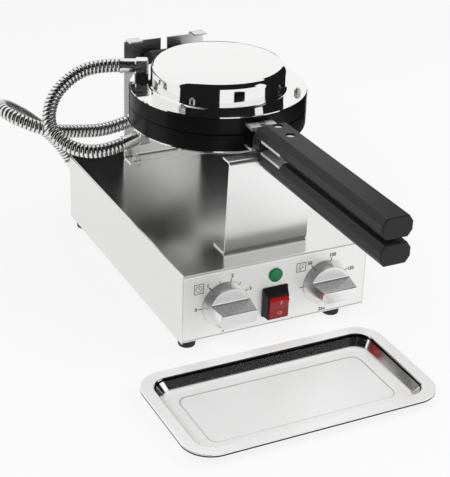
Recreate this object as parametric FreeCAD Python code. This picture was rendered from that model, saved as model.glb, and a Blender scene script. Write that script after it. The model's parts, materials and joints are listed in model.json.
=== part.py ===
import FreeCAD, Part
import math
import os

from FreeCAD import Vector

# Bubble waffle maker in millimetres
# x = 0 is the machine's middle, y = 0 the base's front face, z = 0 the table
# Driving sizes of the base
base_width = 220.0
base_depth = 331.0
base_height = 80.0
foot_height = 10.0
foot_radius = 10.5
foot_taper = 1.5
foot_inset_y = 14.0
foot_inset_left = 12.5
foot_inset_right = 32.5
sheet = 1.2
bend_radius = 1.5
fit_gap = 0.1
panel_flange = 9.5
pan_wall = 14.0

# Driving sizes of the two brackets that carry the head
plate_sheet = 2.0
bracket_bend = 2.0
front_bracket_half = 49.0
front_bracket_foot_y = 28.0
front_bracket_lean = 5.7
front_bracket_height = 107.6
front_bracket_top_flange = 16.4
front_bracket_foot_flange = 26.4
front_bolt_x = 34.0
rear_bracket_half = 50.7
rear_bracket_gap = 2.6
rear_bracket_above_axis = 30.9
rear_bracket_foot_flange = 21.0
rear_tab_depth = 16.0
rear_tab_inner = 33.0
rear_tab_outer = 48.7
rear_bolt_x = 40.5
bolt_across_flats = 9.0
bolt_head_height = 4.5
bolt_shank_radius = 2.5
bolt_length = 8.0

# Driving sizes of the head that turns over
axis_above_base = 119.9
head_front_y = 56.1
casting_radius = 97.6
casting_thickness = 18.5
parting_gap = 0.3
batter_recess_rim = 11.6
batter_recess_depth = 2.3
plate_rim = 13.6
cells_across_plate = 3.11
cell_rings = 3
cell_wall = 3.0
cover_flange_rim = 0.6
upper_cover_rim = 23.6
upper_cover_rise = 31.5
upper_cover_shoulder = 9.0
lower_cover_rim = 22.0
lower_cover_rise = 18.0
lower_cover_shoulder = 6.0
cover_crown_radius = 620.0
cover_foot_bend = 1.5
flange_nut_rim = 9.6
flange_nut_front_angle = 51.0
flange_nut_rear_angle = 28.0
flange_nut_flats = 7.0
flange_nut_height = 4.0
flange_stud_radius = 2.0
flange_stud_depth = 8.0
heater_rim = 43.6
heater_radius = 4.0
heater_gap_angle = 26.0
heater_leg = 9.0

# Driving sizes of the rear hinge and the flip axle
hinge_reach = 26.7
knuckle_radius = 20.0
knuckle_half_width = 13.0
knuckle_gap = 0.3
ear_width = 14.7
hinge_pin_radius = 4.0
hinge_pin_clearance = 0.05
hinge_pin_head = 2.0
hinge_pin_head_radius = 6.0
flip_axle_radius = 4.2
axle_slot_clearance = 0.05
axle_buried = 12.0
axle_washer_radius = 9.0
axle_washer = 1.5
axle_washer_gap = 0.3
axle_nut_flats = 13.0
axle_nut_height = 6.5
axle_tip = 2.0

# Driving sizes of the tangs, front journal and handles
tang_thickness = 3.0
tang_rise = 5.0
tang_neck_half = 11.0
tang_wide_half = 15.0
tang_front_y = -19.0
tang_step_y = 39.2
tang_step_run = 4.0
tang_plate_y = 62.0
tang_plate_rise = 10.0
lug_half = 15.0
lug_gap = 0.3
tang_screw_y = 49.0
journal_radius = 16.0
journal_clearance = 0.3
journal_front_y = 23.0
journal_length = 15.5
handle_front_y = -212.5
handle_rear_y = 21.0
handle_width = 32.0
handle_height = 21.5
handle_above_axis = 2.5
handle_chamfer_x = 4.5
handle_chamfer_z = 6.5
handle_round = 1.4
handle_screw_rear = 7.0
handle_screw_pitch = 26.0
handle_pocket_radius = 5.0
handle_pocket_depth = 3.6
screw_head_radius = 4.0
screw_head_height = 2.4
screw_shank_radius = 2.0

# Driving sizes of the conduit fittings and ribbed hoses
nut_radius = 8.0
nut_height = 5.5
elbow_width = 15.0
elbow_height = 16.0
elbow_round = 2.5
elbow_bore = 4.0
ferrule_radius = 7.9
ferrule_length = 16.0
ferrule_lip = 0.6
ferrule_lip_length = 2.5
hose_crest_radius = 7.5
hose_root_radius = 6.2
hose_bore_radius = 4.6
hose_pitch = 4.8
hose_lead = 27.0
link_lid_angle = 143.95
link_lid_rim = 11.64
link_lid_way = (-0.92, 0.39, 0.0)
link_head_angle = 171.05
link_head_rim = 12.06
link_head_way = (-0.97, -0.05, -0.23)
supply_head_angle = 125.72
supply_head_rim = 8.55
supply_head_way = (-0.93, 0.15, -0.33)
supply_base_inset = 16.0
supply_base_above = 52.0
supply_base_way = (-0.5, 0.0, 0.87)

# Driving sizes of the controls
lamp_x = -1.8
lamp_below_top = 20.0
lamp_lens_radius = 7.0
lamp_rim_radius = 8.0
lamp_rim = 1.2
lamp_lens_height = 3.0
lamp_body_radius = 6.5
lamp_body_length = 22.0
switch_x = -1.5
switch_below_top = 51.0
bezel_width = 30.6
bezel_height = 35.0
bezel_edge = 0.8
bezel_thickness = 1.5
switch_corner = 2.0
collar_reach = 8.5
collar_wall = 1.3
switch_body_width = 27.0
switch_body_height = 31.5
rocker_drop = 3.4
rocker_width = 22.0
rocker_half_height = 11.4
rocker_side_gap = 0.4
rocker_end_gap = 1.5
rocker_pivot_reach = 5.0
rocker_tip = 7.0
rocker_middle = 6.2
rocker_back = 3.0
rocker_tilt = 10.0
rocker_stub = 1.1
rocker_stub_radius = 1.5
rocker_stub_clearance = 0.05
switch_body_depth = 20.0
knob_left_x = -60.5
knob_left_below_top = 42.5
knob_right_x = 59.0
knob_right_below_top = 41.7
knob_gap = 0.5
knob_radius = 26.0
knob_tip_radius = 20.9
knob_depth = 34.0
knob_shoulder = 12.5
grip_half = 7.0
grip_root_half = 8.5
knob_round = 1.2
shoulder_round = 0.8
root_round = 2.0
spindle_radius = 3.0
spindle_clearance = 0.05
spindle_in_knob = 14.0
spindle_in_body = 16.0
bush_radius = 5.0
control_body_width = 46.0
control_body_depth = 30.0
terminal_length = 60.0
terminal_width = 20.0
terminal_height = 18.0
terminal_y = 230.0
mains_gland_x = 62.0
mains_gland_above_base = 30.0
mains_gland_radius = 10.0
mains_gland_bore = 4.5

# Driving sizes of the loose tray in front
tray_left = -186.0
tray_right = 90.0
tray_rear = -45.0
tray_front = -196.0
tray_height = 15.0
tray_sheet = 1.0
tray_rim = 12.0
tray_corner = 30.0
tray_lip = 3.0
tray_slope = 9.0
tray_panel_inset = 33.0
tray_panel_step = 1.2

# Places worked out from the sizes above
base_top = foot_height + base_height
axis_z = base_top + axis_above_base
foot_left_x = foot_inset_left - base_width / 2.0
foot_right_x = base_width / 2.0 - foot_inset_right
head_y = head_front_y + casting_radius
hinge_y = head_y + casting_radius + hinge_reach
rear_bracket_y = hinge_y + knuckle_radius + rear_bracket_gap
supply_base_x = supply_base_inset - base_width / 2.0
supply_base_z = foot_height + supply_base_above
half_gap = parting_gap / 2.0
batter_recess_radius = casting_radius - batter_recess_rim
plate_radius = casting_radius - plate_rim
cell_pitch = plate_radius / cells_across_plate
cell_radius = (cell_pitch - cell_wall) / 2.0
cover_flange_radius = casting_radius - cover_flange_rim
upper_cover_radius = casting_radius - upper_cover_rim
lower_cover_radius = casting_radius - lower_cover_rim
flange_nut_circle = casting_radius - flange_nut_rim
heater_circle = casting_radius - heater_rim
back_z = casting_thickness
cover_back = casting_thickness + sheet
front_bracket_top = base_top + front_bracket_height
front_bracket_top_y = front_bracket_foot_y - front_bracket_lean
rear_bracket_top = axis_z + rear_bracket_above_axis
rocker_pivot_y = -rocker_pivot_reach
elbow_reach = elbow_width / 2.0 + ferrule_length
elbow_middle = nut_height + elbow_height / 2.0
rearmost = base_depth + nut_height + elbow_height
middle_x = (tray_left + base_width / 2.0) / 2.0
middle_y = (handle_front_y + rearmost) / 2.0
UP = Vector(0, 0, 1)
BACK = Vector(0, 1, 0)
RIGHT = Vector(1, 0, 0)


# Basic solids
def box(x0, x1, y0, y1, z0, z1):
    return Part.makeBox(x1 - x0, y1 - y0, z1 - z0, Vector(x0, y0, z0))


def rod(radius, start, end):
    way = end - start
    return Part.makeCylinder(radius, way.Length, start, way)


def prism(points, way):
    wire = Part.makePolygon(points + [points[0]])
    return Part.Face(wire).extrude(way)


def hexagon(flats, base, way, height, side):
    corner = flats / math.sqrt(3.0)
    across = way.cross(side)
    points = []
    for k in range(6):
        a = math.radians(60.0 * k)
        points.append(base + side * (corner * math.cos(a)) + across * (corner * math.sin(a)))
    return prism(points, way * height)


def fuse(solids):
    whole = solids[0].multiFuse(solids[1:])
    return whole.removeSplitter()


def mirrored(shape):
    return shape.mirror(Vector(0, 0, axis_z), UP)


# Sheet metal: an open outline of the outside, given a wall towards its left
def sheet_outline(points, wall):
    inner = []
    count = len(points)
    for k in range(count):
        before = points[k] - points[k - 1] if k > 0 else None
        after = points[k + 1] - points[k] if k < count - 1 else None
        first = before if before is not None else after
        second = after if after is not None else before
        a = FreeCAD.Vector(first).normalize()
        b = FreeCAD.Vector(second).normalize()
        na = Vector(-a.y, a.x, 0)
        nb = Vector(-b.y, b.x, 0)
        share = (na + nb) * (wall / (1.0 + na.dot(nb)))
        inner.append(points[k] + share)
    return points + inner[::-1]


def bent_sheet(points, wall, bend, way, place):
    flat = sheet_outline(points, wall)
    solid = prism([place(p) for p in flat], way)
    inner = flat[len(points):][::-1]
    corners = [(place(p), bend + wall) for p in points[1:-1]]
    corners += [(place(p), bend) for p in inner[1:-1]]
    for spot, radius in corners:
        edges = []
        for edge in solid.Edges:
            if len(edge.Vertexes) != 2:
                continue
            ends = [v.Point for v in edge.Vertexes]
            if abs((ends[1] - ends[0]).Length - way.Length) > 0.001:
                continue
            if min((e - spot).Length for e in ends) < 0.001:
                edges.append(edge)
        solid = solid.makeFillet(radius, edges)
    return solid


# Rounded rectangle as lines and arcs, flat at height z
def rounded_wire(x0, x1, y0, y1, radius, z):
    corners = ((x1, y0, -90.0), (x1, y1, 0.0), (x0, y1, 90.0), (x0, y0, 180.0))
    edges = []
    last = None
    first = None
    for x, y, turn in corners:
        cx = x - radius if x == x1 else x + radius
        cy = y - radius if y == y1 else y + radius
        spots = []
        for step in (0.0, 45.0, 90.0):
            a = math.radians(turn + step)
            spots.append(Vector(cx + radius * math.cos(a), cy + radius * math.sin(a), z))
        if last is not None:
            edges.append(Part.LineSegment(last, spots[0]).toShape())
        else:
            first = spots[0]
        edges.append(Part.Arc(spots[0], spots[1], spots[2]).toShape())
        last = spots[2]
    edges.append(Part.LineSegment(last, first).toShape())
    return Part.Wire(edges)


# Base: folded shell, front and rear panels, pan, feet
def base_shell():
    half = base_width / 2.0
    outline = [Vector(-half, foot_height, 0), Vector(-half, base_top, 0)]
    outline += [Vector(half, base_top, 0), Vector(half, foot_height, 0)]
    outline.reverse()
    shell = bent_sheet(outline, sheet, bend_radius, Vector(0, base_depth, 0), lambda p: Vector(p.x, 0, p.y))
    for x, y in bolt_places():
        shell = shell.cut(rod(bolt_shank_radius, Vector(x, y, base_top - 5), Vector(x, y, base_top + 5)))
    return shell


def end_panel():
    half = base_width / 2.0 - sheet - fit_gap
    low = foot_height + sheet + fit_gap
    high = base_top - sheet - fit_gap
    outline = [Vector(panel_flange, high, 0), Vector(0, high, 0)]
    outline += [Vector(0, low, 0), Vector(panel_flange, low, 0)]
    return bent_sheet(outline, sheet, bend_radius, Vector(2 * half, 0, 0), lambda p: Vector(-half, p.x, p.y))


def front_panel():
    panel = end_panel()
    cuts = [rod(lamp_body_radius, Vector(lamp_x, -5, lamp_z()), Vector(lamp_x, 5, lamp_z()))]
    wide = switch_body_width / 2.0
    tall = switch_body_height / 2.0
    cuts.append(box(switch_x - wide, switch_x + wide, -5, 5, switch_z() - tall, switch_z() + tall))
    for x, z in knob_places():
        cuts.append(rod(bush_radius, Vector(x, -5, z), Vector(x, 5, z)))
    return panel.cut(Part.makeCompound(cuts))


def rear_panel():
    panel = end_panel().mirror(Vector(0, base_depth / 2.0, 0), BACK)
    far = base_depth + 5
    near = base_depth - 5
    x, z = supply_base_x, supply_base_z
    cuts = [rod(elbow_bore, Vector(x, near, z), Vector(x, far, z))]
    x, z = mains_gland_x, foot_height + mains_gland_above_base
    cuts.append(rod(mains_gland_bore + 2, Vector(x, near, z), Vector(x, far, z)))
    slot_count = 5
    slot_width, slot_height, slot_pitch = 3.0, 34.0, 9.0
    low = foot_height + 24.0
    for k in range(slot_count):
        x0 = -slot_pitch * (slot_count - 1) / 2.0 + slot_pitch * k
        cuts.append(box(x0 - slot_width / 2.0, x0 + slot_width / 2.0, near, far, low, low + slot_height))
    return panel.cut(Part.makeCompound(cuts))


def bottom_pan():
    half = base_width / 2.0 - sheet - fit_gap
    outline = [Vector(-half, foot_height + pan_wall, 0), Vector(-half, foot_height, 0)]
    outline += [Vector(half, foot_height, 0), Vector(half, foot_height + pan_wall, 0)]
    front = sheet + fit_gap
    length = base_depth - 2 * front
    pan = bent_sheet(outline, sheet, bend_radius, Vector(0, length, 0), lambda p: Vector(p.x, front, p.y))
    cuts = []
    for x, y in foot_places():
        cuts.append(rod(screw_shank_radius, Vector(x, y, foot_height - 2), Vector(x, y, foot_height + 4)))
    notch = panel_flange + fit_gap
    low = foot_height + sheet
    high = foot_height + pan_wall + 1
    for y0, y1 in ((0, notch), (base_depth - notch, base_depth)):
        cuts.append(box(-half - 1, half + 1, y0, y1, low, high))
    for cut in cuts:
        pan = pan.cut(cut)
    return pan


def foot_places():
    rear = base_depth - foot_inset_y
    return [(foot_left_x, foot_inset_y), (foot_right_x, foot_inset_y), (foot_left_x, rear), (foot_right_x, rear)]


def foot(x, y):
    rubber = Part.makeCone(foot_radius - foot_taper, foot_radius, foot_height, Vector(x, y, 0))
    low_edges = [e for e in rubber.Edges if len(e.Vertexes) == 1 and e.Vertexes[0].Point.z < 0.001]
    rubber = rubber.makeFillet(1.0, low_edges)
    depth = foot_height - 4.0
    return rubber.cut(rod(screw_shank_radius, Vector(x, y, foot_height - depth), Vector(x, y, foot_height + 1)))


def foot_screws():
    screws = []
    head_z = foot_height + sheet
    depth = foot_height - 4.0
    for x, y in foot_places():
        shank = rod(screw_shank_radius, Vector(x, y, foot_height - depth), Vector(x, y, head_z + 1))
        head = rod(screw_head_radius, Vector(x, y, head_z), Vector(x, y, head_z + screw_head_height))
        screws.append(fuse([shank, head]))
    return Part.makeCompound(screws)


# Brackets on the base's top
def bolt_places():
    front_y = front_bracket_foot_y + front_bracket_foot_flange * 0.55
    rear_y = rear_bracket_y - rear_bracket_foot_flange * 0.6
    return [(-front_bolt_x, front_y), (front_bolt_x, front_y), (-rear_bolt_x, rear_y), (rear_bolt_x, rear_y)]


def front_bracket():
    foot_y = front_bracket_foot_y
    outline = [Vector(foot_y + front_bracket_foot_flange, base_top, 0), Vector(foot_y, base_top, 0)]
    outline += [Vector(front_bracket_top_y, front_bracket_top, 0)]
    outline += [Vector(front_bracket_top_y + front_bracket_top_flange, front_bracket_top, 0)]
    outline.reverse()
    half = front_bracket_half
    plate = bent_sheet(outline, plate_sheet, bracket_bend, Vector(2 * half, 0, 0), lambda p: Vector(-half, p.x, p.y))
    saddle = journal_radius + journal_clearance
    plate = plate.cut(rod(saddle, Vector(0, 0, axis_z), Vector(0, foot_y + front_bracket_top_flange + 9, axis_z)))
    for x, y in bolt_places()[:2]:
        plate = plate.cut(rod(bolt_shank_radius, Vector(x, y, base_top - 1), Vector(x, y, base_top + 9)))
    return plate


def rear_bracket():
    back = rear_bracket_y + plate_sheet
    outline = [Vector(back - rear_bracket_foot_flange, base_top, 0), Vector(back, base_top, 0)]
    outline += [Vector(back, rear_bracket_top, 0), Vector(back - rear_tab_depth, rear_bracket_top, 0)]
    half = rear_bracket_half
    plate = bent_sheet(outline, plate_sheet, bracket_bend, Vector(2 * half, 0, 0), lambda p: Vector(-half, p.x, p.y))
    front = rear_bracket_y - rear_tab_depth - 1
    bend_low = rear_bracket_top - plate_sheet - bracket_bend
    cuts = [box(-rear_tab_inner, rear_tab_inner, front, back + 1, bend_low, rear_bracket_top + 1)]
    for side in (-1, 1):
        outer = sorted((side * rear_tab_outer, side * (half + 1)))
        cuts.append(box(outer[0], outer[1], front, back + 1, bend_low, rear_bracket_top + 1))
    slot = flip_axle_radius + axle_slot_clearance
    cuts.append(rod(slot, Vector(0, front, axis_z), Vector(0, back + 1, axis_z)))
    cuts.append(box(-slot, slot, front, back + 1, axis_z, rear_bracket_top + 1))
    for x, y in bolt_places()[2:]:
        cuts.append(rod(bolt_shank_radius, Vector(x, y, base_top - 1), Vector(x, y, base_top + 5)))
    for cut in cuts:
        plate = plate.cut(cut)
    return plate


def bolts(places):
    solids = []
    seat = base_top + plate_sheet
    for x, y in places:
        head = hexagon(bolt_across_flats, Vector(x, y, seat), UP, bolt_head_height, RIGHT)
        washer = rod(bolt_across_flats * 0.62, Vector(x, y, seat), Vector(x, y, seat + 1))
        shank = rod(bolt_shank_radius, Vector(x, y, seat - bolt_length), Vector(x, y, seat))
        solids.append(fuse([head, washer, shank]))
    return Part.makeCompound(solids)


# Head castings and the round plates with bubble cells that are pressed into them
def cell_places():
    places = []
    for q in range(-cell_rings, cell_rings + 1):
        for r in range(-cell_rings, cell_rings + 1):
            ring = max(abs(q), abs(r), abs(q + r))
            corner = ring == cell_rings and 0 in (q, r, q + r)
            if ring > cell_rings or corner:
                continue
            places.append((cell_pitch * (q + r / 2.0), cell_pitch * r * math.sqrt(3.0) / 2.0))
    return places


def cooking_plate():
    low = axis_z + batter_recess_depth
    plate = rod(plate_radius, Vector(0, head_y, low), Vector(0, head_y, axis_z + back_z))
    for x, y in cell_places():
        plate = plate.cut(Part.makeSphere(cell_radius, Vector(x, head_y + y, low)))
    return plate


def batter_recess():
    low = axis_z - 1
    recess_top = axis_z + batter_recess_depth
    recess = rod(batter_recess_radius, Vector(0, head_y, low), Vector(0, head_y, recess_top))
    bore = rod(plate_radius, Vector(0, head_y, low), Vector(0, head_y, axis_z + back_z + 1))
    return [recess, bore]


def stud_places():
    front, rear = flange_nut_front_angle, flange_nut_rear_angle
    angles = (-90.0 - front, -90.0 + front, 90.0 - rear, 90.0 + rear)
    spots = []
    for angle in angles:
        a = math.radians(angle)
        spots.append((flange_nut_circle * math.cos(a), head_y + flange_nut_circle * math.sin(a)))
    return spots


def casting_body():
    bottom = axis_z + half_gap
    top = axis_z + back_z
    disc = rod(casting_radius, Vector(0, head_y, bottom), Vector(0, head_y, top))
    disc = disc.makeChamfer(1.0, [e for e in disc.Edges if len(e.Vertexes) == 1])
    lug_front = tang_step_y + tang_step_run + lug_gap
    lug = box(-lug_half, lug_half, lug_front, head_y - casting_radius + 8, bottom, axis_z + tang_plate_rise)
    return fuse([disc, lug])


def casting_cuts():
    low = axis_z + tang_plate_rise
    cuts = batter_recess()
    notch = tang_wide_half + fit_gap
    cuts.append(box(-notch, notch, 30, tang_plate_y + fit_gap, low, low + tang_thickness + fit_gap))
    cuts.append(rod(screw_shank_radius, Vector(0, tang_screw_y, axis_z + 2), Vector(0, tang_screw_y, low + 1)))
    for x, y in stud_places():
        top = axis_z + back_z
        cuts.append(rod(flange_stud_radius, Vector(x, y, top - flange_stud_depth), Vector(x, y, top + 1)))
    return cuts


def hinge_arm(x0, x1):
    start = head_y + casting_radius - 12
    arm = box(x0, x1, start, hinge_y, axis_z + half_gap, axis_z + back_z)
    barrel = rod(knuckle_radius, Vector(x0, hinge_y, axis_z), Vector(x1, hinge_y, axis_z))
    return [arm, barrel]


def casting_upper():
    inner = knuckle_half_width + knuckle_gap
    outer = inner + ear_width
    solids = [casting_body()] + hinge_arm(inner, outer) + hinge_arm(-outer, -inner)
    whole = fuse(solids)
    for cut in casting_cuts():
        whole = whole.cut(cut)
    bore = hinge_pin_radius + hinge_pin_clearance
    reach = outer + 1
    return whole.cut(rod(bore, Vector(-reach, hinge_y, axis_z), Vector(reach, hinge_y, axis_z)))


def casting_lower():
    arm = fuse(hinge_arm(-knuckle_half_width, knuckle_half_width))
    whole = fuse([casting_body(), arm])
    for cut in casting_cuts():
        whole = whole.cut(cut)
    whole = mirrored(whole)
    reach = knuckle_half_width + 1
    whole = whole.cut(rod(hinge_pin_radius, Vector(-reach, hinge_y, axis_z), Vector(reach, hinge_y, axis_z)))
    rear = hinge_y + knuckle_radius
    return whole.cut(rod(flip_axle_radius, Vector(0, rear - axle_buried, axis_z), Vector(0, rear + 1, axis_z)))


# Pressed covers: flange, foot bend, wall, shoulder and a shallow crown, turned round the head's middle
def pressed_cover(wall, rise, shoulder):
    crown = cover_crown_radius
    foot = cover_foot_bend
    middle = Vector(0, 0, rise - crown)
    across = wall - shoulder
    up = math.sqrt((crown - shoulder) ** 2 - across ** 2)
    turn = middle + Vector(across, 0, up)
    slope = (turn - middle).normalize()
    edges = []

    def arc(centre, radius, a0, a1):
        spots = []
        for a in (a0, (a0 + a1) / 2.0, a1):
            spots.append(centre + Vector(radius * math.cos(a), 0, radius * math.sin(a)))
        return Part.Arc(spots[0], spots[1], spots[2]).toShape(), spots[0], spots[2]

    lean = math.atan2(slope.z, slope.x)
    foot_centre = Vector(wall + foot, 0, sheet + foot)
    parts = []
    for offset in (0.0, sheet):
        bend = arc(foot_centre, foot + offset, -math.pi / 2.0, -math.pi)
        edge = arc(turn, shoulder - offset, 0.0, lean)
        top = arc(middle, crown - offset, lean, math.pi / 2.0)
        flange = Vector(cover_flange_radius, 0, sheet - offset)
        run = [Part.LineSegment(flange, bend[1]).toShape(), bend[0]]
        run += [Part.LineSegment(bend[2], edge[1]).toShape(), edge[0], top[0]]
        parts.append((flange, run, top[2]))
    edges += parts[0][1] + parts[1][1]
    edges.append(Part.LineSegment(parts[0][2], parts[1][2]).toShape())
    edges.append(Part.LineSegment(parts[0][0], parts[1][0]).toShape())
    wire = Part.Wire(Part.__sortEdges__(edges))
    solid = Part.Face(wire).revolve(Vector(0, 0, 0), UP, 360)
    return solid


def cover(wall, rise, shoulder, seats):
    shell = pressed_cover(wall, rise, shoulder)
    shell.translate(Vector(0, head_y, axis_z + back_z))
    cuts = []
    for x, y in stud_places():
        cuts.append(rod(flange_stud_radius, Vector(x, y, axis_z + back_z - 1), Vector(x, y, axis_z + back_z + 3)))
    for seat in seats:
        x, y = seat.x, seat.y
        cuts.append(rod(elbow_bore, Vector(x, y, axis_z + back_z - 1), Vector(x, y, axis_z + back_z + 3)))
    return shell.cut(Part.makeCompound(cuts))


def flange_nuts():
    seat = axis_z + cover_back
    nuts = []
    for x, y in stud_places():
        head = hexagon(flange_nut_flats, Vector(x, y, seat), UP, flange_nut_height, RIGHT)
        low = Vector(x, y, axis_z + back_z - flange_stud_depth)
        stud = rod(flange_stud_radius, low, Vector(x, y, seat + flange_nut_height + 2))
        nuts.append(fuse([head, stud]))
    return Part.makeCompound(nuts)


def heater():
    level = axis_z + back_z + heater_radius
    spread = heater_gap_angle / 2.0
    ring = Part.makeTorus(heater_circle, heater_radius, Vector(0, 0, 0), UP, -180, 180, 360 - heater_gap_angle)
    ring.rotate(Vector(0, 0, 0), UP, 90 + spread)
    ring.translate(Vector(0, head_y, level))
    parts = [ring]
    for side in (-1, 1):
        a = math.radians(90 + side * spread)
        end = Vector(heater_circle * math.cos(a), head_y + heater_circle * math.sin(a), level)
        parts.append(Part.makeSphere(heater_radius, end))
        parts.append(rod(heater_radius, end, end + UP * (heater_leg - heater_radius)))
    return fuse(parts)


# Tangs, journals and handles at the front
def tang():
    low = axis_z + tang_rise
    high = axis_z + tang_plate_rise
    step = tang_step_y
    end = step + tang_step_run
    outline = [(tang_front_y, low), (step, low), (end, high), (tang_plate_y, high)]
    outline += [(tang_plate_y, high + tang_thickness), (end - 1, high + tang_thickness)]
    outline += [(step - 1, low + tang_thickness), (tang_front_y, low + tang_thickness)]
    wide = tang_wide_half
    strip = prism([Vector(-wide, y, z) for y, z in outline], Vector(2 * wide, 0, 0))
    neck_end = end - 1
    for side in (-1, 1):
        xs = sorted((side * tang_neck_half, side * (wide + 1)))
        strip = strip.cut(box(xs[0], xs[1], handle_rear_y, neck_end, low - 1, high + tang_thickness + 1))
    for y in screw_rows():
        strip = strip.cut(rod(screw_shank_radius, Vector(0, y, low - 1), Vector(0, y, low + 5)))
    return strip.cut(rod(screw_shank_radius, Vector(0, tang_screw_y, high - 1), Vector(0, tang_screw_y, high + 5)))


def tang_screw():
    seat = axis_z + tang_plate_rise + tang_thickness
    shank = rod(screw_shank_radius, Vector(0, tang_screw_y, axis_z + 2), Vector(0, tang_screw_y, seat))
    head = rod(screw_head_radius, Vector(0, tang_screw_y, seat), Vector(0, tang_screw_y, seat + 1.6))
    return fuse([shank, head])


def journal():
    rear = journal_front_y + journal_length
    full = rod(journal_radius, Vector(0, journal_front_y, axis_z), Vector(0, rear, axis_z))
    far = journal_radius + 1
    half = full.cut(box(-far, far, journal_front_y - 1, rear + 1, axis_z - far, axis_z + half_gap))
    low = axis_z + tang_rise
    slot = box(-tang_neck_half, tang_neck_half, journal_front_y - 1, rear + 1, low, low + tang_thickness)
    return half.cut(slot)


def screw_rows():
    first = handle_rear_y - handle_screw_rear
    return [first, first - handle_screw_pitch]


def handle():
    low = axis_z + handle_above_axis
    high = low + handle_height
    half = handle_width / 2.0
    cx, cz = handle_chamfer_x, handle_chamfer_z
    ring = [(-half, low + cz), (-half + cx, low), (half - cx, low), (half, low + cz)]
    ring += [(half, high - cz), (half - cx, high), (-half + cx, high), (-half, high - cz)]
    start = handle_front_y
    bar = prism([Vector(x, start, z) for x, z in ring], Vector(0, handle_rear_y - start, 0))
    bar = bar.makeFillet(handle_round, bar.Edges)
    rebate_top = axis_z + tang_rise + tang_thickness
    bar = bar.cut(box(-half - 1, half + 1, tang_front_y - fit_gap, handle_rear_y + 1, low - 1, rebate_top))
    for y in screw_rows():
        floor = high - handle_pocket_depth
        bar = bar.cut(rod(handle_pocket_radius, Vector(0, y, floor), Vector(0, y, high + 1)))
        bar = bar.cut(rod(screw_shank_radius, Vector(0, y, rebate_top - 1), Vector(0, y, floor + 1)))
    return bar


def handle_screws():
    floor = axis_z + handle_above_axis + handle_height - handle_pocket_depth
    solids = []
    for y in screw_rows():
        head = rod(screw_head_radius, Vector(0, y, floor), Vector(0, y, floor + screw_head_height))
        shank = rod(screw_shank_radius, Vector(0, y, axis_z + tang_rise), Vector(0, y, floor + 1))
        solids.append(fuse([head, shank]))
    return Part.makeCompound(solids)


# Hinge pin, flip axle and its nut
def hinge_pin():
    reach = knuckle_half_width + knuckle_gap + ear_width + fit_gap
    shaft = rod(hinge_pin_radius, Vector(-reach, hinge_y, axis_z), Vector(reach, hinge_y, axis_z))
    ends = []
    for side in (-1, 1):
        inner = Vector(side * reach, hinge_y, axis_z)
        outer = Vector(side * (reach + hinge_pin_head), hinge_y, axis_z)
        ends.append(rod(hinge_pin_head_radius, inner, outer))
    return fuse([shaft] + ends)


def washer_places():
    front_end = rear_bracket_y - axle_washer_gap
    rear_start = rear_bracket_y + plate_sheet + axle_washer_gap
    return [(hinge_y + knuckle_radius, front_end), (rear_start, rear_start + axle_washer)]


def flip_axle():
    start = hinge_y + knuckle_radius - axle_buried
    end = washer_places()[1][1] + axle_nut_height + axle_tip
    return rod(flip_axle_radius, Vector(0, start, axis_z), Vector(0, end, axis_z))


def axle_washers():
    solids = []
    for y0, y1 in washer_places():
        disc = rod(axle_washer_radius, Vector(0, y0, axis_z), Vector(0, y1, axis_z))
        solids.append(disc.cut(rod(flip_axle_radius, Vector(0, y0 - 1, axis_z), Vector(0, y1 + 1, axis_z))))
    return Part.makeCompound(solids)


def axle_nut():
    start = washer_places()[1][1]
    body = hexagon(axle_nut_flats, Vector(0, start, axis_z), BACK, axle_nut_height, RIGHT)
    end = start + axle_nut_height + 1
    return body.cut(rod(flip_axle_radius, Vector(0, start - 1, axis_z), Vector(0, end, axis_z)))


# Conduit fittings: a nut on the sheet, an elbow block and a ferrule for the hose
def elbow_centre(seat, normal):
    return seat + normal * elbow_middle


def hose_end(seat, normal, way):
    return elbow_centre(seat, normal) + unit(way) * elbow_reach


def unit(way):
    return Vector(way).normalize()


def gland_nut(seat, normal):
    side = unit(normal.cross(Vector(1, 1, 1)))
    collar = hexagon(nut_radius * 1.8, seat, normal, nut_height, side)
    collar = collar.common(rod(nut_radius, seat, seat + normal * nut_height))
    return collar.cut(rod(elbow_bore, seat - normal, seat + normal * (nut_height + 1)))


def elbow(seat, normal, way):
    centre = elbow_centre(seat, normal)
    base = seat + normal * nut_height
    flat = Vector(way) - normal * Vector(way).dot(normal)
    side = unit(flat)
    across = unit(normal.cross(side))
    h = elbow_width / 2.0
    ring = [base + side * a * h + across * b * h for a, b in ((-1, -1), (1, -1), (1, 1), (-1, 1))]
    block = prism(ring, normal * elbow_height)
    block = block.makeFillet(elbow_round, block.Edges)
    out = unit(way)
    end = hose_end(seat, normal, way)
    tube = rod(ferrule_radius, centre, end)
    lip = rod(ferrule_radius + ferrule_lip, end - out * ferrule_lip_length, end)
    body = fuse([block, tube, lip])
    body = body.cut(rod(elbow_bore, base - normal, centre))
    return body.cut(rod(elbow_bore, centre, end + out))


def rim_spot(angle, rim):
    reach = casting_radius - rim
    a = math.radians(angle)
    return reach * math.cos(a), head_y + reach * math.sin(a)


def lid_seat():
    x, y = rim_spot(link_lid_angle, link_lid_rim)
    return Vector(x, y, axis_z + cover_back)


def head_seat(angle, rim):
    x, y = rim_spot(angle, rim)
    return Vector(x, y, axis_z - cover_back)


def link_head_seat():
    return head_seat(link_head_angle, link_head_rim)


def supply_head_seat():
    return head_seat(supply_head_angle, supply_head_rim)


def base_seat():
    return Vector(supply_base_x, base_depth, supply_base_z)


# Ribbed hoses along hand-chosen points
def link_route():
    start = hose_end(lid_seat(), UP, link_lid_way)
    end = hose_end(link_head_seat(), -UP, link_head_way)
    chosen = [Vector(-144, 227, 233), Vector(-171, 218, 213), Vector(-181, 199, 187)]
    chosen += [Vector(-163, 180, 169)]
    first = start + unit(link_lid_way) * hose_lead
    last = end + unit(link_head_way) * hose_lead
    return [start, first] + chosen + [last, end]


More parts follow.
